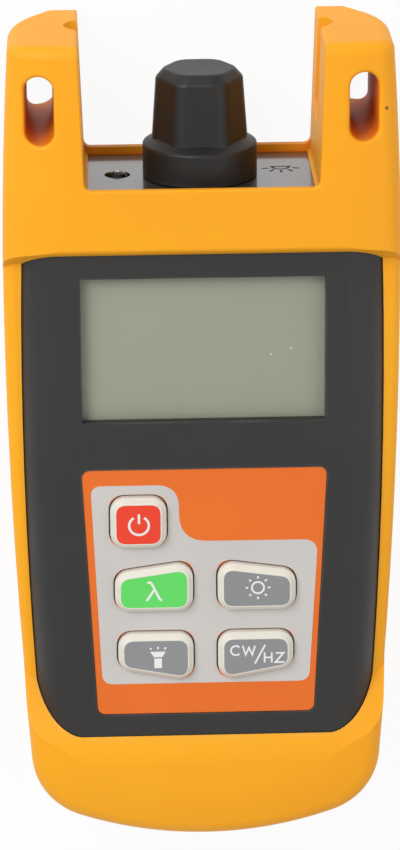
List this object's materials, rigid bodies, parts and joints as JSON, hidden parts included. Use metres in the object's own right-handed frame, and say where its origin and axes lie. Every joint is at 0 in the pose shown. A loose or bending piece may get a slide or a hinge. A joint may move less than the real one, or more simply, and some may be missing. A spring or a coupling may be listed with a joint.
{
  "type": "handheld optical light source",
  "caption": "Handheld optical light source for testing fibre, in a rubber boot with two slotted ears round a capped optical port, with display, keypad and torch lamp.",
  "frame": {"origin": "middle of the footprint of the instrument lying on its back, on the resting plane", "axes": "+Z out of the keypad face, +Y towards the optical port and the ears, +X to the right of someone reading the keys"},
  "size_m": [0.0816, 0.175, 0.0351],
  "materials": {
    "boot_rubber": "matte",
    "case_plastic": "fine matte texture",
    "label_film": "satin",
    "key_plastic": "satin",
    "pane_plastic": "clear",
    "panel_glass": "grey-green, reflective",
    "white_plastic": "matte",
    "light_guide": "clear",
    "strip_rubber": "matte",
    "mat_silicone": "matte",
    "contact_gold": "bright",
    "board_green": "solder mask",
    "chip_black": "matte",
    "screw_steel": "zinc plated",
    "port_nickel": "nickel plated",
    "sleeve_ceramic": "white ceramic",
    "module_steel": "plated",
    "lamp_clear": "clear",
    "cell_jacket": "printed film",
    "spring_steel": "nickel plated",
    "cap_rubber": "matte"
  },
  "bodies": {
    "case": {"boot": "boot_rubber", "front_shell": "case_plastic", "rear_shell": "case_plastic", "face_label": "label_film", "display_pane": "pane_plastic", "display_panel": "panel_glass", "display_frame": "white_plastic", "display_backlight": "light_guide", "display_connector": "strip_rubber", "spring_mat": "mat_silicone", "key_contacts": "contact_gold", "main_board": "board_green", "board_chips": "chip_black", "board_screws": "screw_steel", "case_screws": "screw_steel", "port_body": "port_nickel", "port_nut": "port_nickel", "port_sleeve": "sleeve_ceramic", "laser_module": "module_steel", "torch_lamp": "lamp_clear", "battery_cell_1": "cell_jacket", "battery_cell_2": "cell_jacket", "battery_cell_3": "cell_jacket", "battery_plates": "spring_steel", "battery_springs": "spring_steel"},
    "key_power": {"key_power": "key_plastic"},
    "key_wavelength": {"key_wavelength": "key_plastic"},
    "key_display_light": {"key_display_light": "key_plastic"},
    "key_torch": {"key_torch": "key_plastic"},
    "key_mode": {"key_mode": "key_plastic"},
    "dust_cap": {"dust_cap": "cap_rubber"},
    "battery_cover": {"battery_cover": "case_plastic"}
  },
  "joints": [
    {"name": "key_power_press", "type": "slide", "parent": "case", "child": "key_power", "axis": [0, 0, -1], "range_m": [0, 0.001], "stiffness_N_per_m": 600},
    {"name": "key_wavelength_press", "type": "slide", "parent": "case", "child": "key_wavelength", "axis": [0, 0, -1], "range_m": [0, 0.001], "stiffness_N_per_m": 600},
    {"name": "key_display_light_press", "type": "slide", "parent": "case", "child": "key_display_light", "axis": [0, 0, -1], "range_m": [0, 0.001], "stiffness_N_per_m": 600},
    {"name": "key_torch_press", "type": "slide", "parent": "case", "child": "key_torch", "axis": [0, 0, -1], "range_m": [0, 0.001], "stiffness_N_per_m": 600},
    {"name": "key_mode_press", "type": "slide", "parent": "case", "child": "key_mode", "axis": [0, 0, -1], "range_m": [0, 0.001], "stiffness_N_per_m": 600},
    {"name": "dust_cap_pull", "type": "slide", "parent": "case", "child": "dust_cap", "axis": [0, 1, 0], "range_m": [0, 0.025]},
    {"name": "battery_cover_hinge", "type": "hinge", "parent": "case", "child": "battery_cover", "pos_m": [0, -0.004, 0.003], "axis": [1, 0, 0], "range_deg": [0, 100]}
  ]
}
